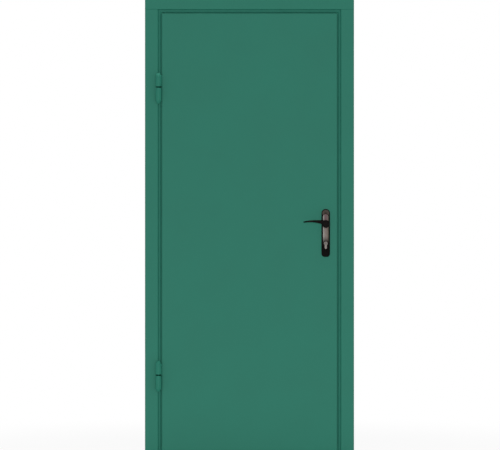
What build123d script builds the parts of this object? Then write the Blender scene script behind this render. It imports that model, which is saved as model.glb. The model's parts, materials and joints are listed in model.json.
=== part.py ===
from build123d import *
import os

os.makedirs("parts", exist_ok=True)

# Steel entrance door in its bent-sheet frame, in millimetres.
# X runs from the hinge side to the latch side, Y from outdoors to indoors, Z up from the floor.
# Y = 0 is the face of the wall that the casing covers.

# frame
overall_width = 960
overall_height = 2100
casing_face = 60
casing_depth = 15
frame_sheet = 2
bend_radius = 3
ledge_step = 10
ledge_width = 12
rebate_side = 11
seat_width = 19
lining_depth = 64
back_flange = 41
corner_seam = 0.6
threshold_front = 6
threshold_rise = 19

# leaf
leaf_sheet = 1.5
leaf_rim = 16
leaf_back_depth = 44
leaf_inset = 22
leaf_return = 30
back_return = 15
side_gap = 6
top_gap = 7
bottom_gap = 8
leaf_corner = 2

# seals
seal_width = 8
seal_inset = 0.5
seal_clear = 0.3
seal_round = 3

# hinges
barrel_dia = 30
barrel_clear = 1
axis_out = 16
leaf_barrel_length = 62
frame_barrel_length = 72
hinge_gap = 7
upper_hinge_drop = 339
lower_hinge_rise = 347.1
barrel_taper = 14
barrel_end_dia = 13
pin_dia = 16
pin_reach = 38
pin_end_room = 3
pin_play = 0.05
bearing_dia = 22
bearing_play = 0.3
fin_thickness = 2
fin_reach = 14
foot_thickness = 5
foot_offset = 1.5

# handle plates
backset = 52
handle_height = 1054.5
plate_width = 39
plate_length = 220
plate_above = 68.8
plate_thickness = 9
plate_foot_radius = 15
plate_bevel = 2.5
field_rise = 1.5
field_bevel = 0.8
field_margin = 6
field_crown = 23
field_foot = 34
field_foot_radius = 6

# lever
lever_projection = 50
lever_length = 103
lever_depth = 13
lever_edge = 1.6
boss_dia = 35
arm_level = 50
arm_droop = 6.5
tip_thickness = 5.5
tip_round = 2.4
under_radius = 175
under_reach = 10
under_drop = 4
root_round = 9
neck_dia = 20
hub_dia = 32
hub_clear = 0.4
hub_height = 7
hub_bevel = 2
spigot_dia = 17
spigot_clear = 0.3
spigot_length = 6
spigot_room = 2
spindle_side = 8
spindle_bite = 28

# lock
case_depth = 72
case_height = 215
case_thickness = 16
faceplate_width = 22
faceplate_length = 235
faceplate_thickness = 3
lock_mid_drop = 47
latch_width = 12
latch_height = 20
bolt_dia = 16
bolt_spacing = 26
bolt_depth = 14
follower_hole = 14
strike_margin = 2
strike_play = 1.5
fit = 0.2
cylinder_drop = 90
cylinder_round = 17
cylinder_web = 10
cylinder_height = 33
cylinder_proud = 3
plug_dia = 12.6
plug_depth = 22
key_slot_width = 2.4
key_slot_height = 9

# dog bolts and wall anchors
dog_dia = 12
dog_reach = 16
dog_hole_dia = 26
dog_point = 2
dog_collar = 4
dog_from_hinge = 200
anchor_dia = 12
anchor_inset = 51
anchor_end = 250
anchor_step = 500

# how far a cutting shape runs past the face that it cuts
cut_past = 1

# derived places
half_width = overall_width / 2
casing_inner = half_width - casing_face
rebate_x = casing_inner - ledge_width
lining_x = rebate_x - seat_width
casing_top = overall_height - casing_face
front_y = -casing_depth
ledge_y = front_y + ledge_step
seat_y = ledge_y + rebate_side
back_y = seat_y + lining_depth

leaf_half = rebate_x - side_gap
leaf_top = casing_top - ledge_width - top_gap
leaf_bottom = threshold_front + bottom_gap
rim_back_y = front_y + leaf_rim
leaf_back_y = rim_back_y + leaf_back_depth
back_half = leaf_half - leaf_inset
back_top = leaf_top - leaf_inset
back_bottom = leaf_bottom + leaf_inset
lock_y = rim_back_y + leaf_back_depth / 2

axis_x = -leaf_half - axis_out
axis_y = front_y - barrel_clear - barrel_dia / 2
upper_hinge_z = leaf_top - upper_hinge_drop
lower_hinge_z = leaf_bottom + lower_hinge_rise

handle_x = leaf_half - backset
cylinder_z = handle_height - cylinder_drop
lock_mid_z = handle_height - lock_mid_drop
plate_front_y = front_y - plate_thickness
plate_back_y = leaf_back_y + plate_thickness

dog_heights = (lower_hinge_z + dog_from_hinge, upper_hinge_z - dog_from_hinge)
low_anchors = (anchor_end, anchor_end + anchor_step)
anchor_heights = low_anchors + tuple(overall_height - height for height in low_anchors)


def block(x0, x1, y0, y1, z0, z1):
    return Pos((x0 + x1) / 2, (y0 + y1) / 2, (z0 + z1) / 2) * Box(x1 - x0, y1 - y0, z1 - z0)


def rod_x(x0, x1, y, z, dia):
    return Pos((x0 + x1) / 2, y, z) * Rot(0, 90, 0) * Cylinder(dia / 2, x1 - x0)


def rod_y(x, y0, y1, z, dia):
    return Pos(x, (y0 + y1) / 2, z) * Rot(90, 0, 0) * Cylinder(dia / 2, y1 - y0)


def rod_z(x, y, z0, z1, dia):
    return Pos(x, y, (z0 + z1) / 2) * Cylinder(dia / 2, z1 - z0)


def mirrored(shape):
    return mirror(shape, about=Plane.YZ)


def facing_out(x, y, z):
    return Plane(origin=(x, y, z), x_dir=(1, 0, 0), z_dir=(0, -1, 0))


def save(shape, name):
    export_step(shape, "parts/" + name + ".step")


# The section of the bent sheet, drawn across the wall.
# The first value of each point runs away from the doorway, the second into the room.
section_points = [
    (half_width, 0),
    (half_width, front_y),
    (casing_inner, front_y),
    (casing_inner, ledge_y),
    (rebate_x, ledge_y),
    (rebate_x, seat_y),
    (lining_x, seat_y),
    (lining_x, back_y),
    (lining_x + back_flange, back_y),
]
section_line = FilletPolyline(*section_points, radius=bend_radius)
section = make_face(offset(section_line, amount=frame_sheet, side=Side.RIGHT))

# Each jamb stands on the floor. Its casing stops square under the head, and the rest is mitred.
mitre_reach = casing_face + ledge_width + seat_width
mitre_low = (casing_inner - mitre_reach, casing_top - mitre_reach)
mitre_high = (casing_inner + mitre_reach, casing_top + mitre_reach)
mitre_mid = (casing_inner, casing_top)


def across_wall(points, y0, y1):
    return extrude(facing_out(0, y1, 0) * make_face(Polyline(*points, close=True)), y1 - y0)


over_mitre = across_wall(
    [mitre_low, mitre_high, (mitre_low[0], mitre_high[1])], front_y - cut_past, back_y + cut_past
)
over_casing = block(
    casing_inner,
    half_width + cut_past,
    front_y - cut_past,
    cut_past,
    casing_top - corner_seam,
    overall_height + cut_past,
)
jamb = extrude(section, overall_height) - over_mitre - over_casing
through_lining = (lining_x - cut_past, lining_x + frame_sheet + cut_past)
for height in anchor_heights:
    jamb -= rod_x(*through_lining, seat_y + anchor_inset, height, anchor_dia)

hinge_jamb = mirrored(jamb)
for height in dog_heights:
    hinge_jamb -= mirrored(rod_x(*through_lining, lock_y, height, dog_hole_dia))
save(hinge_jamb, "hinge_jamb")

face_low = lock_mid_z - faceplate_length / 2
face_high = lock_mid_z + faceplate_length / 2
strike_half = faceplate_width / 2 + strike_margin
strike_window = block(
    *through_lining, lock_y - strike_half - fit, lock_y + strike_half + fit, face_low - fit, face_high + fit
)
save(jamb - strike_window, "latch_jamb")

# The head carries the same section across the full width, with its casing ends folded shut.
head_rise = casing_top - casing_inner
head_line = FilletPolyline(
    *[(across, away + head_rise) for away, across in section_points], radius=bend_radius
)
head_plane = Plane(origin=(-half_width, 0, 0), x_dir=(0, 1, 0), z_dir=(1, 0, 0))
head_face = make_face(offset(head_line, amount=frame_sheet, side=Side.LEFT))
head = extrude(head_plane * head_face, overall_width)
end_x = half_width + cut_past
under_mitre = across_wall(
    [mitre_low, mitre_mid, (end_x, casing_top), (end_x, mitre_low[1])],
    front_y - cut_past,
    back_y + cut_past,
)
beside_mitre = across_wall(
    [mitre_mid, mitre_high, (mitre_high[0], casing_top)], frame_sheet, back_y + cut_past
)
head_end = under_mitre + beside_mitre
end_tab = block(
    half_width - frame_sheet, half_width, front_y + bend_radius, 0, casing_top, overall_height - bend_radius
)
head = head - head_end - mirrored(head_end) + end_tab + mirrored(end_tab)
save(head, "frame_head")

# The threshold is a closed sill with a raised stop behind the leaf.
# Its ends are coped to the bends of the jambs.
stop_top = threshold_front + threshold_rise
sill_points = [
    (ledge_y, 0),
    (ledge_y, threshold_front),
    (seat_y, threshold_front),
    (seat_y, stop_top),
    (back_y, stop_top),
    (back_y, 0),
]
sill_plane = Plane(origin=(-rebate_x, 0, 0), x_dir=(0, 1, 0), z_dir=(1, 0, 0))
sill = extrude(sill_plane * make_face(Polyline(*sill_points, close=True)), 2 * rebate_x)
sill_hollow = block(
    -lining_x + frame_sheet,
    lining_x - frame_sheet,
    seat_y + frame_sheet,
    back_y - frame_sheet,
    frame_sheet,
    stop_top - frame_sheet,
)
sill_end = block(
    lining_x, rebate_x + cut_past, seat_y, back_y + cut_past, -cut_past, stop_top + cut_past
)
threshold = sill - sill_hollow - sill_end - mirrored(sill_end) - jamb - mirrored(jamb)
save(threshold, "threshold")

# Rubber seals with a rounded lip, on the rebate seat, just hidden behind the edge of the leaf.
seal_height = seat_y - rim_back_y - seal_clear
seal_y = seat_y - seal_height / 2
seal_mid = leaf_half - seal_inset - seal_width / 2
head_seal_z = leaf_top - seal_inset - seal_width / 2
seal_outline = Rectangle(seal_width, seal_height)
seal_outline = fillet(seal_outline.vertices().group_by(Axis.Y)[0], seal_round)
jamb_seal = extrude(Pos(seal_mid, seal_y) * seal_outline, head_seal_z - seal_width / 2 - threshold_front)
jamb_seal = Pos(0, 0, threshold_front) * jamb_seal
save(jamb_seal, "latch_jamb_seal")
save(mirrored(jamb_seal), "hinge_jamb_seal")
head_seal = extrude(seal_outline, seal_mid + seal_width / 2, both=True)
save(Pos(0, seal_y, head_seal_z) * Rot(0, 90, 0) * head_seal, "head_seal")


# The leaf is two folded pans: the front one wide, with a rim all round, the back one set in for the rebate.
def pan(half, bottom, top, y_closed, y_open, lip):
    way = 1 if y_open > y_closed else -1
    y_floor = y_closed + way * leaf_sheet
    y_lip = y_open - way * leaf_sheet
    y_past = y_open + way * cut_past
    shell = block(-half, half, min(y_closed, y_open), max(y_closed, y_open), bottom, top)
    shell = fillet(shell.faces().sort_by(Axis.Y)[0 if way > 0 else -1].edges(), leaf_corner)
    room = half - leaf_sheet
    shell -= block(
        -room, room, min(y_floor, y_lip), max(y_floor, y_lip), bottom + leaf_sheet, top - leaf_sheet
    )
    mouth = half - lip
    return shell - block(
        -mouth, mouth, min(y_floor, y_past), max(y_floor, y_past), bottom + lip, top - lip
    )


def cylinder_prism(y0, y1, grow):
    foot_z = cylinder_round / 2 - cylinder_height + cylinder_web / 2
    face = Circle(cylinder_round / 2 + grow)
    face += Pos(0, foot_z) * Circle(cylinder_web / 2 + grow)
    face += Pos(0, foot_z / 2) * Rectangle(cylinder_web + 2 * grow, -foot_z)
    return extrude(facing_out(handle_x, y1, cylinder_z) * face, y1 - y0)


spindle_way = rod_y(
    handle_x, front_y - cut_past, leaf_back_y + cut_past, handle_height, spigot_dia + 2 * spigot_room
)
cylinder_way = cylinder_prism(plate_front_y - cut_past, plate_back_y + cut_past, fit)
front_pan = pan(leaf_half, leaf_bottom, leaf_top, front_y, rim_back_y, leaf_return)
save(front_pan - spindle_way - cylinder_way, "leaf_front_pan")

back_pan = pan(back_half, back_bottom, back_top, leaf_back_y, rim_back_y, back_return)
back_pan -= block(
    back_half - leaf_sheet - cut_past,
    back_half + cut_past,
    lock_y - faceplate_width / 2 - fit,
    lock_y + faceplate_width / 2 + fit,
    face_low - fit,
    face_high + fit,
)
dog_bolts = []
collar_x = -back_half + leaf_sheet
for height in dog_heights:
    back_pan -= rod_x(-back_half - cut_past, collar_x + cut_past, lock_y, height, dog_dia + 2 * fit)
    pin = rod_x(-back_half - dog_reach, collar_x, lock_y, height, dog_dia)
    pin = chamfer(pin.edges().filter_by(GeomType.CIRCLE).sort_by(Axis.X)[0], dog_point)
    dog_bolts.append(pin + rod_x(collar_x, collar_x + dog_collar, lock_y, height, dog_dia + 2 * dog_collar))
save(back_pan - spindle_way - cylinder_way, "leaf_back_pan")
save(Compound(children=dog_bolts), "dog_bolts")

# Mortice lock: case, faceplate, and bolts drawn back flush.
case_front = back_half - faceplate_thickness
bolt_heights = [cylinder_z + step * bolt_spacing for step in (-1, 0, 1)]


def lock_bolt_shapes(x0, x1, grow):
    latch = block(
        x0,
        x1,
        lock_y - latch_width / 2 - grow,
        lock_y + latch_width / 2 + grow,
        handle_height - latch_height / 2 - grow,
        handle_height + latch_height / 2 + grow,
    )
    bolts = [rod_x(x0, x1, lock_y, height, bolt_dia + 2 * grow) for height in bolt_heights]
    return latch, bolts


latch_bolt, dead_bolts = lock_bolt_shapes(case_front - bolt_depth, back_half, 0)
latch_way, dead_ways = lock_bolt_shapes(case_front - bolt_depth, back_half + cut_past, fit)
bolt_ways = latch_way + dead_ways
lock_case = block(
    case_front - case_depth,
    case_front,
    lock_y - case_thickness / 2,
    lock_y + case_thickness / 2,
    lock_mid_z - case_height / 2,
    lock_mid_z + case_height / 2,
)
lock_case -= rod_y(handle_x, front_y, leaf_back_y, handle_height, follower_hole)
save(lock_case - cylinder_way - bolt_ways, "lock_case")
faceplate = block(
    case_front, back_half, lock_y - faceplate_width / 2, lock_y + faceplate_width / 2, face_low, face_high
)
save(faceplate - bolt_ways, "lock_faceplate")
save(latch_bolt, "latch_bolt")
save(Compound(children=dead_bolts), "dead_bolts")
strike = block(
    lining_x, lining_x + frame_sheet, lock_y - strike_half, lock_y + strike_half, face_low, face_high
)
strike_latch, strike_holes = lock_bolt_shapes(*through_lining, strike_play)
save(strike - strike_latch - strike_holes, "strike_plate")

# Key cylinder with a plug at each end.
key_front_y = plate_front_y - cylinder_proud
key_back_y = plate_back_y + cylinder_proud
cylinder_body = cylinder_prism(key_front_y, key_back_y, 0)
plug_ends = {
    "outer_cylinder_plug": (key_front_y, key_front_y + plug_depth),
    "inner_cylinder_plug": (key_back_y - plug_depth, key_back_y),
}
for name, (y0, y1) in plug_ends.items():
    cylinder_body -= rod_y(handle_x, y0, y1, cylinder_z, plug_dia + 2 * pin_play)
    plug = rod_y(handle_x, y0, y1, cylinder_z, plug_dia)
    mouth_y = y0 if y0 == key_front_y else y1
    key_slot = Pos(handle_x, mouth_y, cylinder_z) * Box(key_slot_width, plug_depth, key_slot_height)
    save(plug - key_slot, name)
save(cylinder_body, "cylinder_body")


# Long handle plates, round at the head and softer at the foot, with a bevelled rim round a raised field.
def arched(width, bottom, top, foot_radius):
    spring = top - width / 2
    outline = Pos(0, (bottom + spring) / 2) * Rectangle(width, spring - bottom)
    outline = outline + Pos(0, spring) * Circle(width / 2)
    return fillet(outline.vertices().group_by(Axis.Y)[0], foot_radius)


def raised(outline, y0, height, bevel):
    solid = extrude(facing_out(handle_x, y0, handle_height) * outline, height)
    return chamfer(solid.faces().sort_by(Axis.Y)[0].edges(), bevel)


plate_foot = plate_above - plate_length
rim_thickness = plate_thickness - field_rise
plate_rim = arched(plate_width, plate_foot, plate_above, plate_foot_radius)
plate_field = arched(
    plate_width - 2 * field_margin, plate_foot + field_foot, plate_above - field_crown, field_foot_radius
)
outer_plate = raised(plate_rim, front_y, rim_thickness, plate_bevel)
outer_plate += raised(plate_field, front_y - rim_thickness, field_rise, field_bevel)
outer_plate -= rod_y(
    handle_x, plate_front_y - cut_past, front_y + cut_past, handle_height, spigot_dia + 2 * spigot_clear
)
outer_plate -= cylinder_way
save(outer_plate, "outer_backplate")


def to_indoors(shape):
    middle = Plane.XZ.offset(-(front_y + leaf_back_y) / 2)
    return mirror(shape, about=middle)


save(to_indoors(outer_plate), "inner_backplate")

# Lever: a round boss whose level top runs on into a slim arm, with a hollowed underside and a drooping tip.
boss_radius = boss_dia / 2
level_end = (-arm_level, boss_radius)
tip_top = (-lever_length, boss_radius - arm_droop)
tip_low = (-lever_length, tip_top[1] - tip_thickness)
under_root = (-under_reach, -under_drop)
arm_edges = [
    Line((0, boss_radius), level_end),
    TangentArc(level_end, tip_top, tangent=(-1, 0)),
    Line(tip_top, tip_low),
    RadiusArc(tip_low, under_root, under_radius),
    Line(under_root, (0, boss_radius)),
]
arm_face = make_face(arm_edges)
arm_face = fillet(arm_face.vertices().group_by(Axis.X)[0], tip_round)
lever_face = arm_face + Circle(boss_radius)
hollow_corner = lever_face.vertices().sort_by_distance((-boss_radius, -under_drop))[0]
lever_face = fillet(hollow_corner, root_round)

hub_y = plate_front_y - hub_clear
lever_back_y = plate_front_y - lever_projection + lever_depth
lever = extrude(facing_out(handle_x, lever_back_y, handle_height) * lever_face, lever_depth)
lever_rims = lever.faces().filter_by(Axis.Y)
lever = chamfer(lever_rims.edges(), lever_edge)
hub = rod_y(handle_x, hub_y - hub_height, hub_y, handle_height, hub_dia)
hub = chamfer(hub.faces().sort_by(Axis.Y)[0].edges(), hub_bevel)
neck = rod_y(handle_x, lever_back_y, hub_y - hub_height, handle_height, neck_dia)
spigot = rod_y(handle_x, hub_y, plate_front_y + spigot_length, handle_height, spigot_dia)
lever = lever + neck + hub + spigot
spindle_end = plate_front_y - spindle_bite
socket_side = spindle_side + fit
lever -= Pos(handle_x, (spindle_end + front_y) / 2, handle_height) * Box(
    socket_side, front_y - spindle_end, socket_side
)
save(lever, "outer_lever")
save(to_indoors(lever), "inner_lever")
indoor_end = plate_back_y + spindle_bite
spindle = Pos(handle_x, (spindle_end + indoor_end) / 2, handle_height) * Box(
    spindle_side, indoor_end - spindle_end, spindle_side
)
save(spindle, "spindle")

# Lift-off hinges: the frame half carries the pin, the leaf half turns on it over a thrust ring.
# Both barrels taper to a small flat at their free end.
foot_x = axis_x + foot_offset
root_y = axis_y + barrel_dia / 2 - barrel_clear / 2


def barrel(z_seat, length, way):
    z_taper = z_seat + way * (length - barrel_taper)
    straight = rod_z(axis_x, axis_y, min(z_seat, z_taper), max(z_seat, z_taper), barrel_dia)
    taper = Cone(barrel_dia / 2, barrel_end_dia / 2, barrel_taper)
    taper = taper if way > 0 else Rot(180, 0, 0) * taper
    return straight + Pos(axis_x, axis_y, z_taper + way * barrel_taper / 2) * taper


for name, height in (("upper_hinge", upper_hinge_z), ("lower_hinge", lower_hinge_z)):
    low = height - hinge_gap / 2
    high = height + hinge_gap / 2
    foot_low = low - frame_barrel_length + barrel_taper
    frame_barrel = barrel(low, frame_barrel_length, -1)
    frame_barrel += rod_z(axis_x, axis_y, low, high + pin_reach, pin_dia)
    frame_barrel += block(foot_x, foot_x + foot_thickness, axis_y, ledge_y, foot_low, low)
    save(frame_barrel, name + "_frame_barrel")

    ring = rod_z(axis_x, axis_y, low, high - bearing_play, bearing_dia)
    ring -= rod_z(axis_x, axis_y, low - cut_past, high + cut_past, pin_dia + 2 * fit)
    save(ring, name + "_bearing")

    fin_top = high + leaf_barrel_length - barrel_taper
    leaf_barrel = barrel(high, leaf_barrel_length, 1)
    leaf_barrel += block(axis_x, -leaf_half, axis_y, root_y, high, fin_top)
    leaf_barrel += block(-leaf_half - fin_thickness, -leaf_half, axis_y, front_y + fin_reach, high, fin_top)
    pin_way_top = high + pin_reach + pin_end_room
    leaf_barrel -= rod_z(axis_x, axis_y, high - cut_past, pin_way_top, pin_dia + 2 * pin_play)
    save(leaf_barrel, name + "_leaf_barrel")
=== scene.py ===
import bpy
import bmesh
import json
from math import radians
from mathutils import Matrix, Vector


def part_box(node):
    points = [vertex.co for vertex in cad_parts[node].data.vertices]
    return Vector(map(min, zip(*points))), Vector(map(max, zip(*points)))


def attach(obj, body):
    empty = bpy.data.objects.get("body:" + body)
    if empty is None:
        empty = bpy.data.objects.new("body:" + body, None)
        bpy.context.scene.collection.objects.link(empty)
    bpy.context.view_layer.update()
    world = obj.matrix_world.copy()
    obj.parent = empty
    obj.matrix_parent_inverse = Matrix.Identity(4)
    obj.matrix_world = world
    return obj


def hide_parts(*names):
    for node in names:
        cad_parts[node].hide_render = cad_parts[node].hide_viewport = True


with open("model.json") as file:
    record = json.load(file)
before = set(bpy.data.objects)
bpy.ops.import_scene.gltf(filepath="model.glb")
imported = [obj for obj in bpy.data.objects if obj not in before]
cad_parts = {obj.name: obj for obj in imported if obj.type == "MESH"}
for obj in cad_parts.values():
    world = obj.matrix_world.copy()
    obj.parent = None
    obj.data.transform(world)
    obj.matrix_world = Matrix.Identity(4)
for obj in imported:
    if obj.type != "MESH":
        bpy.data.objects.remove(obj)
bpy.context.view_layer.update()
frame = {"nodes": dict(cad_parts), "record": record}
nodes = frame["nodes"]
print("frame loaded:", len(nodes), "nodes")


# a shader value: plain maths on it adds Math nodes
class Val:
    def __init__(self, paint, socket):
        self.paint = paint
        self.socket = socket

    def maths(self, operation, a, b):
        return self.paint.node("ShaderNodeMath", {"operation": operation}, {0: a, 1: b})

    def __add__(self, other):
        return self.maths("ADD", self, other)

    def __radd__(self, other):
        return self.maths("ADD", other, self)

    def __sub__(self, other):
        return self.maths("SUBTRACT", self, other)

    def __rsub__(self, other):
        return self.maths("SUBTRACT", other, self)

    def __mul__(self, other):
        return self.maths("MULTIPLY", self, other)

    def __truediv__(self, other):
        return self.maths("DIVIDE", self, other)


# one node tree, of a material or of the world
class Paint:
    def __init__(self, owner):
        owner.use_nodes = True
        self.owner = owner
        self.tree = owner.node_tree
        self.tree.nodes.clear()

    # any node: its type, its settings, then the values or links of its sockets
    def node(self, kind, settings=None, sockets=None, out=0):
        made = self.tree.nodes.new(kind)
        for key, value in (settings or {}).items():
            setattr(made, key, value)
        for key, value in (sockets or {}).items():
            if isinstance(value, Val):
                self.tree.links.new(value.socket, made.inputs[key])
            else:
                made.inputs[key].default_value = value
        return Val(self, made.outputs[out]) if made.outputs else None

    def place(self):
        return self.node("ShaderNodeTexCoord", out="Object")

    def axis(self, vector, name):
        return self.node("ShaderNodeSeparateXYZ", {}, {0: vector}, name)

    def stretch(self, vector, scale):
        return self.node("ShaderNodeMapping", {}, {"Vector": vector, "Scale": scale})

    def noise(self, vector, scale, detail=2.0, roughness=0.5):
        sockets = {"Vector": vector, "Scale": scale, "Detail": detail, "Roughness": roughness}
        return self.node("ShaderNodeTexNoise", {}, sockets)

    def smooth(self, value, low, high):
        sockets = {"Value": value, "From Min": low, "From Max": high}
        return self.node("ShaderNodeMapRange", {"interpolation_type": "SMOOTHSTEP"}, sockets)

    def blend(self, factor, a, b):
        return self.node("ShaderNodeMix", {"data_type": "RGBA"}, {0: factor, 6: a, 7: b}, 2)

    def bump(self, height, strength, distance):
        sockets = {"Height": height, "Strength": strength, "Distance": distance}
        return self.node("ShaderNodeBump", {}, sockets)

    def surface(self, **sockets):
        named = {key.replace("_", " "): value for key, value in sockets.items()}
        shader = self.node("ShaderNodeBsdfPrincipled", {}, named)
        self.node("ShaderNodeOutputMaterial", {}, {0: shader})
        return self.owner


def newPaint(name):
    return Paint(bpy.data.materials.new(name))


def grey(value):
    return (value, value, value, 1.0)


# green powder coat with a fine peel
powderCoat = {
    "green": (0.0195, 0.168, 0.1165, 1), "deep": (0.0175, 0.157, 0.1085, 1), "clouds": (0.35, 0.65),
    "roughness": 0.60, "peelRoughness": 0.10, "cloudRoughness": 0.06, "gloss": 0.15,
    "cloudScale": 5.0, "peelScale": 420.0, "grainScale": 1500.0,
    "peelDepth": 0.00010, "peelStrength": 0.50, "grainInPeel": 0.35,
}
# the step of the frame is darkened in its recess as painted shade, in noisy patches, and its bend is
# painted paler, partly as wear and partly as a painted highlight; places are depths along Y
stepShadeAndLight = {
    "dirt": (0.0050, 0.118, 0.081, 1), "shadeFrom": -0.0135, "shadeTo": -0.0090, "shadeEnd": -0.0047,
    "shadeAmount": 0.45, "shadeScale": 28, "spots": (0.2, 0.8), "spotAmount": 0.6, "leastShade": 0.7,
    "worn": (0.045, 0.300, 0.215, 1), "litBendEnd": -0.0010, "litBendAmount": 0.90, "fade": 0.001,
}


def makePowderCoat(name, shadedStep):
    p = newPaint(name)
    place = p.place()
    cloud = p.noise(place, powderCoat["cloudScale"], 3)
    peel = p.noise(place, powderCoat["peelScale"], 2, 0.45)
    grain = p.noise(place, powderCoat["grainScale"], 1)
    clouded = p.smooth(cloud * 0.5 + grain * 0.5, *powderCoat["clouds"])
    colour = p.blend(clouded, powderCoat["deep"], powderCoat["green"])
    if shadedStep:
        w = stepShadeAndLight
        depth = p.axis(place, "Y")
        # painted shade: the recessed step between the casing and the bend is darkened, more in some
        # patches than others
        inStep = p.smooth(depth, w["shadeFrom"], w["shadeTo"])
        pastStep = p.smooth(depth, w["shadeEnd"], w["shadeEnd"] + w["fade"])
        inStep = inStep * (1 - pastStep)
        spots = p.smooth(p.noise(place, w["shadeScale"], 4), *w["spots"])
        dirt = spots * w["spotAmount"] + w["leastShade"]
        colour = p.blend(inStep * dirt * w["shadeAmount"], colour, w["dirt"])
        # painted highlight over some wear: the bend of the step is painted paler, lifting the shade
        # of its turn
        onBend = pastStep * p.smooth(depth, w["litBendEnd"] + w["fade"], w["litBendEnd"])
        colour = p.blend(onBend * w["litBendAmount"], colour, w["worn"])
    uneven = (peel - 0.5) * powderCoat["peelRoughness"] + (cloud - 0.5) * powderCoat["cloudRoughness"]
    height = peel + grain * powderCoat["grainInPeel"]
    return p.surface(
        Base_Color=colour,
        Roughness=powderCoat["roughness"] + uneven,
        Normal=p.bump(height, powderCoat["peelStrength"], powderCoat["peelDepth"]),
        Specular_IOR_Level=powderCoat["gloss"],
    )


# dark bronze of the handle set, rubbed pale on the raised field of the plate; across the field it
# goes from pale on the left to deep on the right as painted light and shade
bronze = {
    "dark": (0.0026, 0.0025, 0.0024, 1), "brown": (0.0064, 0.0055, 0.0047, 1), "roughness": 0.55,
    "pale": (0.160, 0.159, 0.145, 1), "middle": (0.118, 0.099, 0.091, 1),
    "deep": (0.076, 0.065, 0.052, 1), "rose": (0.078, 0.052, 0.055, 1),
    # crown is the colour of a painted glint on the rim around the head of the plate
    "crown": (0.037, 0.031, 0.026, 1), "edge": (0.018, 0.016, 0.013, 1),
    "grainScale": 260.0, "brownSpots": (0.45, 0.72), "edgeScale": 55.0, "edgeRubs": (0.42, 0.66),
    "leverRoughness": 0.50, "edgeRoughness": 0.48, "reliefStrength": 0.15, "reliefDepth": 0.00008,
}
# where the plate is rubbed and where light and shade are painted on it: shares of its width, height
# and depth, and of the radius of its head
plateRubAndLight = {
    "paleToMiddle": (0.24, 0.42), "middleToDeep": (0.52, 0.78), "roseUp": (0.70, 0.78),
    "roseOffMiddle": (0.06, 0.01), "fieldOut": (0.86, 0.97), "fieldUp": (0.27, 0.45),
    "crownUp": (0.85, 0.90), "crownRing": (0.10, 0.40), "crownRim": (0.86, 0.76),
    "underField": (0.97, 0.86), "streaks": (700, 700, 60),
    "evenRub": 0.85, "grainRub": 0.7, "streakRub": 0.6,
}


def darkBronze(p, place):
    grain = p.noise(place, bronze["grainScale"], 3, 0.6)
    return grain, p.blend(p.smooth(grain, *bronze["brownSpots"]), bronze["dark"], bronze["brown"])


def makePlateBronze(name, nodeName, outward):
    p = newPaint(name)
    w = plateRubAndLight
    place = p.place()
    low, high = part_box(nodeName)
    size = high - low
    across = (p.axis(place, "X") - low.x) / size.x
    up = (p.axis(place, "Z") - low.z) / size.z
    back = high.y if outward < 0 else low.y
    out = (p.axis(place, "Y") - back) * (outward / size.y)
    grain, dark = darkBronze(p, place)
    streak = p.noise(p.stretch(place, w["streaks"]), 1, 2)
    mottle = w["evenRub"] + (grain - 0.5) * w["grainRub"] + (streak - 0.5) * w["streakRub"]
    fromMid = (across - 0.5) * (across - 0.5)
    # painted light and shade: the rubbed colour goes from pale on the left through middle to deep on
    # the right
    rubbedAndShaded = p.blend(p.smooth(across, *w["paleToMiddle"]), bronze["pale"], bronze["middle"])
    rubbedAndShaded = p.blend(p.smooth(across, *w["middleToDeep"]), rubbedAndShaded, bronze["deep"])
    above = p.smooth(up, *w["roseUp"])  # over the lever the middle is redder
    rubbedAndShaded = p.blend(above * p.smooth(fromMid, *w["roseOffMiddle"]), rubbedAndShaded, bronze["rose"])
    field = p.smooth(out, *w["fieldOut"]) * p.smooth(up, *w["fieldUp"]) * mottle
    arch = Vector(((low.x + high.x) / 2, 0, high.z - size.x / 2))
    flat = p.stretch(place, (1, 0, 1))
    ring = p.node("ShaderNodeVectorMath", {"operation": "DISTANCE"}, {0: flat, 1: arch}, "Value")
    ring = ring / (size.x / 2)
    # painted glint: a paler band on the rim around the head of the plate
    crown = p.smooth(ring, *w["crownRing"]) * 0.5 + 0.5
    crown = crown * p.smooth(ring, *w["crownRim"]) * p.smooth(up, *w["crownUp"]) * mottle
    worn = p.blend(field, dark, rubbedAndShaded)
    return p.surface(
        Base_Color=p.blend(crown * p.smooth(out, *w["underField"]), worn, bronze["crown"]),
        Roughness=bronze["roughness"] + (grain - 0.5) * 0.2,
        Normal=p.bump(grain, 0.2, bronze["reliefDepth"]),
        Metallic=1.0,
    )


def makeLeverBronze():
    p = newPaint("leverBronze")
    place = p.place()
    grain, dark = darkBronze(p, place)
    rough = bronze["leverRoughness"] + (grain - 0.5) * 0.25
    relief = p.bump(grain, bronze["reliefStrength"], bronze["reliefDepth"])
    return p.surface(Base_Color=dark, Roughness=rough, Normal=relief, Metallic=1.0)


# the eased edges of the handle set, rubbed here and there to the brown metal
def makeRubbedEdge():
    p = newPaint("rubbedEdge")
    place = p.place()
    grain, dark = darkBronze(p, place)
    rub = p.smooth(p.noise(place, bronze["edgeScale"], 4, 0.6), *bronze["edgeRubs"])
    colour = p.blend(rub, dark, bronze["edge"])
    rough = bronze["edgeRoughness"] - rub * 0.1
    relief = p.bump(grain, bronze["reliefStrength"], bronze["reliefDepth"])
    return p.surface(Base_Color=colour, Roughness=rough, Normal=relief, Metallic=1.0)


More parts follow.
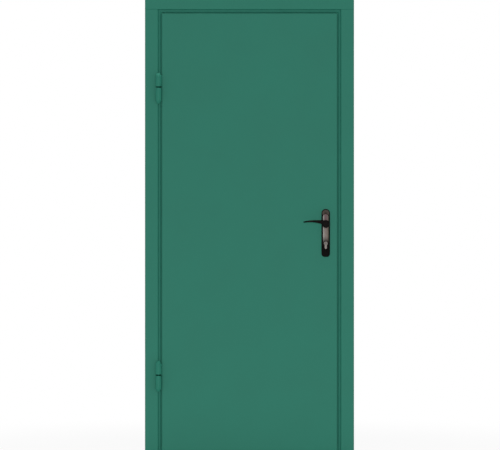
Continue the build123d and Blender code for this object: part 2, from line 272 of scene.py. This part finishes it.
# drawn or brushed metals: light and dark colour, stretch of the lines, roughness
metals = {
    "satinNickel": ((0.099, 0.092, 0.084, 1), (0.065, 0.060, 0.055, 1), (500, 500, 60), 0.50),
    # a darker copy of the satin nickel, laid on the cylinder plugs
    "darkerPlugNickel": ((0.086, 0.080, 0.075, 1), (0.054, 0.050, 0.047, 1), (500, 60, 500), 0.50),
    # the bearing rings: the door's green darkened as painted shade, standing in for the shaded gap
    # between the hinge halves
    "ringPaintAndShade": ((0.003, 0.045, 0.028, 1), (0.002, 0.030, 0.019, 1), (60, 60, 900), 0.60),
    "zincPlate": (grey(0.40), grey(0.29), (700, 700, 40), 0.40),
    "screwZinc": (grey(0.30), grey(0.20), (900, 900, 900), 0.36),
    "oiledSteel": (grey(0.09), grey(0.05), (200, 200, 300), 0.42),
}
brushing = {"lines": (0.3, 0.7), "blotchScale": 60, "strength": 0.12, "depth": 0.00004}


def makeBrushed(name):
    light, dark, stretch, roughness = metals[name]
    p = newPaint(name)
    place = p.place()
    lines = p.noise(p.stretch(place, stretch), 1, 2)
    blotch = p.noise(place, brushing["blotchScale"], 2)
    return p.surface(
        Base_Color=p.blend(p.smooth(lines, *brushing["lines"]), dark, light),
        Roughness=roughness + (lines - 0.5) * 0.2 + (blotch - 0.5) * 0.1,
        Normal=p.bump(lines, brushing["strength"], brushing["depth"]),
        Metallic=1.0,
    )


sealRubber = {
    "black": grey(0.010), "dusty": grey(0.022), "dustScale": 40, "dust": (0.45, 0.75),
    "ribScale": (900.0, 900.0, 4.0), "ribStrength": 0.3, "ribDepth": 0.0001,
    "roughness": 0.62, "gloss": 0.35,
}


def makeRubber():
    p = newPaint("blackRubber")
    place = p.place()
    ribs = p.noise(p.stretch(place, sealRubber["ribScale"]), 1, 1)
    dust = p.smooth(p.noise(place, sealRubber["dustScale"], 3), *sealRubber["dust"])
    return p.surface(
        Base_Color=p.blend(dust, sealRubber["black"], sealRubber["dusty"]),
        Roughness=sealRubber["roughness"] + (ribs - 0.5) * 0.2,
        Normal=p.bump(ribs, sealRubber["ribStrength"], sealRubber["ribDepth"]),
        Specular_IOR_Level=sealRubber["gloss"],
    )


green = makePowderCoat("leafGreen", False)
frameGreen = makePowderCoat("frameGreen", True)
outerBronze = makePlateBronze("outerPlateBronze", "outer_backplate", -1)
innerBronze = makePlateBronze("innerPlateBronze", "inner_backplate", 1)
leverBronze = makeLeverBronze()
rubbedEdge = makeRubbedEdge()
metal = {name: makeBrushed(name) for name in metals}
rubber = makeRubber()

finishes = {
    "green_powder_coat": green, "dark_bronze": leverBronze, "bright_steel": metal["satinNickel"],
    "plated_steel": metal["zincPlate"], "dark_steel": metal["oiledSteel"], "black_rubber": rubber,
}
ownFinish = {
    "outer_backplate": outerBronze, "inner_backplate": innerBronze,
    "upper_hinge_bearing": metal["ringPaintAndShade"], "lower_hinge_bearing": metal["ringPaintAndShade"],
    "outer_cylinder_plug": metal["darkerPlugNickel"], "inner_cylinder_plug": metal["darkerPlugNickel"],
    "hinge_jamb": frameGreen, "latch_jamb": frameGreen, "frame_head": frameGreen,
}
slotOf = {part["node"]: part["material_slot"] for part in frame["record"]["subparts"]}
for name, node in nodes.items():
    node.data.materials.clear()
    node.data.materials.append(ownFinish.get(name, finishes[slotOf[name]]))
print("finishes laid on the frame")


# modelling by hand: a primitive is started alone, then shaped in edit mode
def startPiece(name, add, **settings):
    bpy.ops.object.select_all(action="DESELECT")
    add(**settings)
    piece = bpy.context.object
    piece.name = name
    bpy.ops.object.mode_set(mode="EDIT")
    return piece


def pickFaces(piece, test):
    mesh = bmesh.from_edit_mesh(piece.data)
    bpy.ops.mesh.select_all(action="DESELECT")
    for face in mesh.faces:
        if test(face.calc_center_median(), face.normal):
            face.select_set(True)
    mesh.select_flush_mode()
    bmesh.update_edit_mesh(piece.data)


def facesUp(centre, normal):
    return normal.z > 0.99


def pickAlone(piece):
    bpy.ops.object.select_all(action="DESELECT")
    piece.select_set(True)
    bpy.context.view_layer.objects.active = piece


def finishPiece(piece, material, smoothAngle=35):
    bpy.ops.object.mode_set(mode="OBJECT")
    pickAlone(piece)
    piece.data.materials.clear()
    piece.data.materials.append(material)
    bpy.ops.object.shade_smooth_by_angle(angle=radians(smoothAngle))


# a piece modelled along Z is turned and moved, and the place goes into its mesh
def setInPlace(piece, spot, way):
    piece.rotation_euler = Vector((0, 0, 1)).rotation_difference(Vector(way)).to_euler()
    piece.location = spot
    bpy.ops.object.transform_apply(location=True, rotation=True, scale=True)


def joinBody(piece, body):
    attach(piece, body)


# hardware with its edges eased: a merged copy of the solid, bevelled, stands for the node
easedEdges = {
    "outer_lever": ("lever", 0.0009), "inner_lever": ("lever", 0.0009),
    "outer_backplate": ("leaf", 0.0004), "inner_backplate": ("leaf", 0.0004),
    "upper_hinge_leaf_barrel": ("leaf", 0.0018), "lower_hinge_leaf_barrel": ("leaf", 0.0018),
    "upper_hinge_frame_barrel": ("frame", 0.0018), "lower_hinge_frame_barrel": ("frame", 0.0018),
}
easing = {"merge": 0.00001, "flat": 1, "segments": 3, "sharp": 25, "smooth": 50}  # metres and degrees


def easeEdges(nodeName, body, width):
    pickAlone(nodes[nodeName])
    bpy.ops.object.duplicate()
    piece = bpy.context.object
    for key in list(piece.keys()):  # the copy is no frame node
        del piece[key]
    words = nodeName.split("_")
    piece.name = words[0] + "".join(word.title() for word in words[1:]) + "Eased"
    bpy.ops.object.mode_set(mode="EDIT")
    bpy.ops.mesh.select_all(action="SELECT")
    bpy.ops.mesh.remove_doubles(threshold=easing["merge"])
    bpy.ops.mesh.dissolve_limited(angle_limit=radians(easing["flat"]))
    bpy.ops.object.mode_set(mode="OBJECT")
    ease = piece.modifiers.new("ease", "BEVEL")
    ease.width = width
    ease.segments = easing["segments"]
    ease.limit_method = "ANGLE"
    ease.angle_limit = radians(easing["sharp"])
    if slotOf[nodeName] == "dark_bronze":
        piece.data.materials.append(rubbedEdge)
        ease.material = 1
    bpy.ops.object.modifier_apply(modifier=ease.name)
    bpy.ops.object.shade_smooth_by_angle(angle=radians(easing["smooth"]))
    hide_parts(nodeName)
    joinBody(piece, body)


for nodeName, (body, width) in easedEdges.items():
    easeEdges(nodeName, body, width)
print("hardware edges eased")

# cross-head screws of the lock, strike and indoor handle plate, and the socket screw of each lever
screwHead = {
    "radius": 0.0042, "rise": 0.0006, "crown": 0.0003, "inset": 0.4, "edge": 0.00025, "sides": 32,
    "crossLong": 0.0044, "crossWide": 0.0010, "recess": 0.0008,
}
socketScrew = {
    "radius": 0.0026, "rise": 0.0005, "crown": 0.0, "inset": 0.4, "edge": 0.0002, "sides": 24,
    "hexRadius": 0.0014, "recess": 0.0009,
}


def crossCutter(s):
    cutter = startPiece("crossCutter", bpy.ops.mesh.primitive_cube_add, size=1, location=(0, 0, 0))
    bar = (s["crossWide"], s["crossWide"], 2 * s["recess"])
    bpy.ops.transform.resize(value=bar, center_override=(0, 0, 0))
    reach = (s["crossLong"] - s["crossWide"]) / 2
    for x, y in ((1, 0), (-1, 0), (0, 1), (0, -1)):  # one arm each way, out of the small cube
        way = Vector((x, y, 0))
        start = way * s["crossWide"] / 2
        pickFaces(cutter, lambda centre, normal: (centre - start).length < s["crossWide"] / 4)
        bpy.ops.mesh.extrude_region_move(TRANSFORM_OT_translate={"value": way * reach})
    return cutter


def hexCutter(s):
    return startPiece(
        "hexCutter", bpy.ops.mesh.primitive_cylinder_add,
        vertices=6, radius=s["hexRadius"], depth=2 * s["recess"], location=(0, 0, 0),
    )


def makeHead(name, s, makeCutter, material):
    top = s["rise"]
    head = startPiece(
        name, bpy.ops.mesh.primitive_cylinder_add,
        vertices=s["sides"], radius=s["radius"], depth=2 * top, location=(0, 0, 0),
    )
    pickFaces(head, facesUp)
    bpy.ops.mesh.bevel(offset=s["edge"], segments=2, affect="EDGES")
    pickFaces(head, facesUp)
    bpy.ops.mesh.inset(thickness=s["radius"] * s["inset"])
    bpy.ops.transform.translate(value=(0, 0, s["crown"]))
    bpy.ops.object.mode_set(mode="OBJECT")
    cutter = makeCutter(s)
    bpy.ops.mesh.select_all(action="SELECT")
    bpy.ops.transform.translate(value=(0, 0, top + s["crown"]))
    bpy.ops.object.mode_set(mode="OBJECT")
    pickAlone(head)
    cut = head.modifiers.new("recess", "BOOLEAN")
    cut.object = cutter
    bpy.ops.object.modifier_apply(modifier=cut.name)
    bpy.data.objects.remove(cutter)
    finishPiece(head, material)
    return head


def placeCopy(master, name, spot, facing, turn=0.0):
    pickAlone(master)
    bpy.ops.object.duplicate()
    piece = bpy.context.object
    piece.name = name
    piece.rotation_euler = (0, 0, turn)
    bpy.ops.object.transform_apply(location=True, rotation=True, scale=True)
    setInPlace(piece, spot, facing)
    return piece


screwSpots = {
    "plateEnd": 0.011, "innerTop": 0.012, "innerFoot": 0.016, "cylinderDrop": 0.013,
    "neckRadius": 0.010, "neckOut": 0.022, "fieldRise": 0.0015,
}
faceLow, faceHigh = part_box("lock_faceplate")
strikeLow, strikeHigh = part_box("strike_plate")
innerLow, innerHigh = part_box("inner_backplate")
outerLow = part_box("outer_backplate")[0]
keyLow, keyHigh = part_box("outer_cylinder_plug")
pinLow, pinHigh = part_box("spindle")
endIn = screwSpots["plateEnd"]
midFace = (faceLow.y + faceHigh.y) / 2
innerX = (innerLow.x + innerHigh.x) / 2
rimFace = innerHigh.y - screwSpots["fieldRise"]  # the rim lies under the raised field
innerTop = innerHigh.z - screwSpots["innerTop"]
innerFoot = innerLow.z + screwSpots["innerFoot"]
underKey = (keyLow.z + keyHigh.z) / 2 - screwSpots["cylinderDrop"]
neckFoot = (pinLow.z + pinHigh.z) / 2 - screwSpots["neckRadius"]
zinc = (metal["screwZinc"], "plated_steel")
bronzed = (rubbedEdge, "dark_bronze")
screws = [  # name, place, way it faces, body, finish and slot, turn of the cross
    ("faceplateTopScrew", (faceHigh.x, midFace, faceHigh.z - endIn), (1, 0, 0), "leaf", zinc, 0.4),
    ("faceplateFootScrew", (faceHigh.x, midFace, faceLow.z + endIn), (1, 0, 0), "leaf", zinc, 1.1),
    ("cylinderScrew", (faceHigh.x, midFace, underKey), (1, 0, 0), "leaf", zinc, 0.7),
    ("strikeTopScrew", (strikeLow.x, midFace, strikeHigh.z - endIn), (-1, 0, 0), "frame", zinc, 0.2),
    ("strikeFootScrew", (strikeLow.x, midFace, strikeLow.z + endIn), (-1, 0, 0), "frame", zinc, 0.9),
    ("innerPlateTopScrew", (innerX, rimFace, innerTop), (0, 1, 0), "leaf", bronzed, 0.5),
    ("innerPlateFootScrew", (innerX, rimFace, innerFoot), (0, 1, 0), "leaf", bronzed, 1.3),
]
head = makeHead("screwHead", screwHead, crossCutter, metal["screwZinc"])
for name, spot, facing, body, (material, slot), turn in screws:
    screw = placeCopy(head, name, spot, facing, turn)
    screw.data.materials[0] = material
    joinBody(screw, body)
bpy.data.objects.remove(head)
head = makeHead("socketHead", socketScrew, hexCutter, metal["oiledSteel"])
neckScrews = {
    "outerLeverScrew": outerLow.y - screwSpots["neckOut"],
    "innerLeverScrew": innerHigh.y + screwSpots["neckOut"],
}
for name, neckY in neckScrews.items():
    joinBody(placeCopy(head, name, (innerX, neckY, neckFoot), (0, 0, -1)), "lever")
bpy.data.objects.remove(head)
print("screws set:", len(screws) + len(neckScrews))

# welds: a bead of overlapping ripples, painted with the door
weldBead = {
    "radius": 0.0018, "pitch": 0.0021, "swell": 1.22, "endSize": 0.6, "sides": 10, "smoothAngle": 60,
}
# where they lie: along the feet and fins of the hinges, and behind the seams of each top corner
hingeWeld = {"taper": 0.014, "hingeGap": 0.007, "footOffset": 0.0015, "footThickness": 0.005}
cornerWeld = {"casingFace": 0.060, "casingDepth": 0.015, "seam": 0.0006, "inside": 0.003}


def makeBead(name, length):
    w = weldBead
    bead = startPiece(
        name, bpy.ops.mesh.primitive_circle_add,
        vertices=w["sides"], radius=w["radius"] * w["endSize"], fill_type="NGON", location=(0, 0, 0),
    )
    bpy.ops.mesh.select_all(action="SELECT")
    height = 0.0
    steps = 2 * max(2, round(length / w["pitch"]))  # a swell and a neck for each ripple
    rise = length / steps
    for step in range(steps):
        height += rise
        bpy.ops.mesh.extrude_region_move(TRANSFORM_OT_translate={"value": (0, 0, rise)})
        grow = w["swell"] if step % 2 == 0 else 1 / w["swell"]
        if step == 0:
            grow = w["swell"] / w["endSize"]
        if step == steps - 1:
            grow = w["endSize"] / w["swell"]
        bpy.ops.transform.resize(value=(grow, grow, 1), center_override=(0, 0, height))
    bpy.ops.mesh.select_all(action="SELECT")
    bpy.ops.mesh.normals_make_consistent(inside=False)
    finishPiece(bead, green, w["smoothAngle"])
    return bead


weldSpots = []
for hinge in ("upper", "lower"):
    footLow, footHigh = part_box(hinge + "_hinge_frame_barrel")
    finLow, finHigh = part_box(hinge + "_hinge_leaf_barrel")
    footX = (footLow.x + footHigh.x) / 2 + hingeWeld["footOffset"]
    footEnd = footLow.z + hingeWeld["taper"]
    footLength = finLow.z - hingeWeld["hingeGap"] - footEnd
    for side, offset in (("Outer", 0), ("Inner", hingeWeld["footThickness"])):
        spot = (footX + offset, footHigh.y, footEnd)
        weldSpots.append((hinge + "Foot" + side + "Weld", spot, (0, 0, 1), footLength, "frame"))
    finLength = finHigh.z - hingeWeld["taper"] - finLow.z
    finSpot = (finHigh.x, finHigh.y, finLow.z)
    weldSpots.append((hinge + "FinWeld", finSpot, (0, 0, 1), finLength, "leaf"))
headLow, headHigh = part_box("frame_head")
inside = cornerWeld["inside"]
seamZ = headHigh.z - cornerWeld["casingFace"] - cornerWeld["seam"] / 2
for corner, outer, inward in (("hinge", headLow.x, 1), ("latch", headHigh.x, -1)):
    low = (outer + inward * inside, headLow.y + inside, seamZ)
    high = (outer + inward * inside, headLow.y + inside, headHigh.z - inside)
    face = cornerWeld["casingFace"] - 2 * inside
    depth = cornerWeld["casingDepth"] - inside
    weldSpots.append((corner + "CasingWeld", low, (inward, 0, 0), face, "frame"))
    weldSpots.append((corner + "FlangeWeld", low, (0, 1, 0), depth, "frame"))
    weldSpots.append((corner + "EndWeld", low, (0, 0, 1), face + inside, "frame"))
    weldSpots.append((corner + "TopWeld", high, (0, 1, 0), depth, "frame"))
for name, spot, way, length, body in weldSpots:
    bead = makeBead(name, length)
    setInPlace(bead, spot, way)
    joinBody(bead, body)
print("welds laid:", len(weldSpots))

# studio: pale floor, white air, the same far lamp before and behind the door, a long one over its top
studio = {
    "floor": 0.92, "floorSize": 14, "floorMiddle": (0, 1.0, 0), "speckScale": 3, "specks": (0.3, 0.7),
    "speckDepth": 0.01, "nearWhite": 0.86, "whiteFrom": 0.8, "whiteTo": 2.5, "ambient": 0.35,
    "far": 2400.0, "farSize": (5.0, 4.0), "farAway": 22.0, "farHigh": 1.3, "aim": (0, 0, 1.05),
    "over": 140.0, "overSize": (6.0, 0.3), "overHigh": 6.0,
}


# how far a ray counts as seen: by the camera, in a mirror or through glass
def seenRay(p):
    kinds = ("Is Camera Ray", "Is Glossy Ray", "Is Transmission Ray")
    camera, glossy, through = [p.node("ShaderNodeLightPath", out=kind) for kind in kinds]
    return camera.maths("MAXIMUM", camera.maths("MAXIMUM", camera, glossy), through)


floor = startPiece(
    "studioFloor", bpy.ops.mesh.primitive_plane_add,
    size=studio["floorSize"], location=studio["floorMiddle"],
)
bpy.ops.object.mode_set(mode="OBJECT")
bpy.ops.object.transform_apply(location=True, rotation=True, scale=True)
p = newPaint("paleFloor")
speck = p.smooth(p.noise(p.place(), studio["speckScale"], 3), *studio["specks"])
floorColour = p.blend(speck, grey(studio["floor"] - studio["speckDepth"]), grey(studio["floor"]))
matte = p.node(
    "ShaderNodeBsdfPrincipled", {},
    {"Base Color": floorColour, "Roughness": 1.0, "Specular IOR Level": 0.0},
)
glow = p.node("ShaderNodeEmission", {}, {"Color": grey(1.0), "Strength": 1.0})
away = p.node("ShaderNodeVectorMath", {"operation": "LENGTH"}, {0: p.place()}, "Value")
farOff = p.smooth(away, studio["whiteFrom"], studio["whiteTo"])
whiteness = studio["nearWhite"] + farOff * (1 - studio["nearWhite"])
both = p.node("ShaderNodeMixShader", {}, {0: seenRay(p) * whiteness, 1: matte, 2: glow})
p.node("ShaderNodeOutputMaterial", {}, {0: both})
floor.data.materials.append(p.owner)

world = bpy.data.worlds.new("studioAir")
bpy.context.scene.world = world
p = Paint(world)
soft = p.node("ShaderNodeBackground", {}, {"Color": grey(1.0), "Strength": studio["ambient"]})
white = p.node("ShaderNodeBackground", {}, {"Color": grey(1.0), "Strength": 1.0})
air = p.node("ShaderNodeMixShader", {}, {0: seenRay(p), 1: soft, 2: white})
p.node("ShaderNodeOutputWorld", {}, {0: air})


def softLamp(name, place, target, size, power):
    lamp = bpy.data.lights.new(name, "AREA")
    lamp.shape = "ELLIPSE"
    lamp.size, lamp.size_y = size
    lamp.energy = power
    holder = bpy.data.objects.new(name, lamp)
    bpy.context.scene.collection.objects.link(holder)
    holder.location = place
    holder.rotation_euler = (Vector(target) - Vector(place)).to_track_quat("-Z", "Y").to_euler()


for name, side in (("frontLamp", -1), ("backLamp", 1)):
    place = (0, side * studio["farAway"], studio["farHigh"])
    softLamp(name, place, studio["aim"], studio["farSize"], studio["far"])
softLamp("overLamp", (0, 0, studio["overHigh"]), (0, 0, 0), studio["overSize"], studio["over"])
print("studio lit")

# camera straight on, framed as the picture is
view = {
    "lens": 200.0, "sensor": 36.0, "aimX": 0.0023, "aimZ": 1.0498, "across": 2.2965, "plane": -0.015,
    "reach": 100,
}
camera = bpy.data.cameras.new("frontCamera")
camera.lens = view["lens"]
camera.sensor_width = view["sensor"]
camera.clip_end = view["reach"]
eye = bpy.data.objects.new("frontCamera", camera)
bpy.context.scene.collection.objects.link(eye)
distance = view["across"] * view["lens"] / view["sensor"]
eye.location = (view["aimX"], view["plane"] - distance, view["aimZ"])
eye.rotation_euler = (radians(90), 0, 0)
bpy.context.scene.camera = eye
bpy.context.scene.view_settings.view_transform = "Standard"
print("camera set")
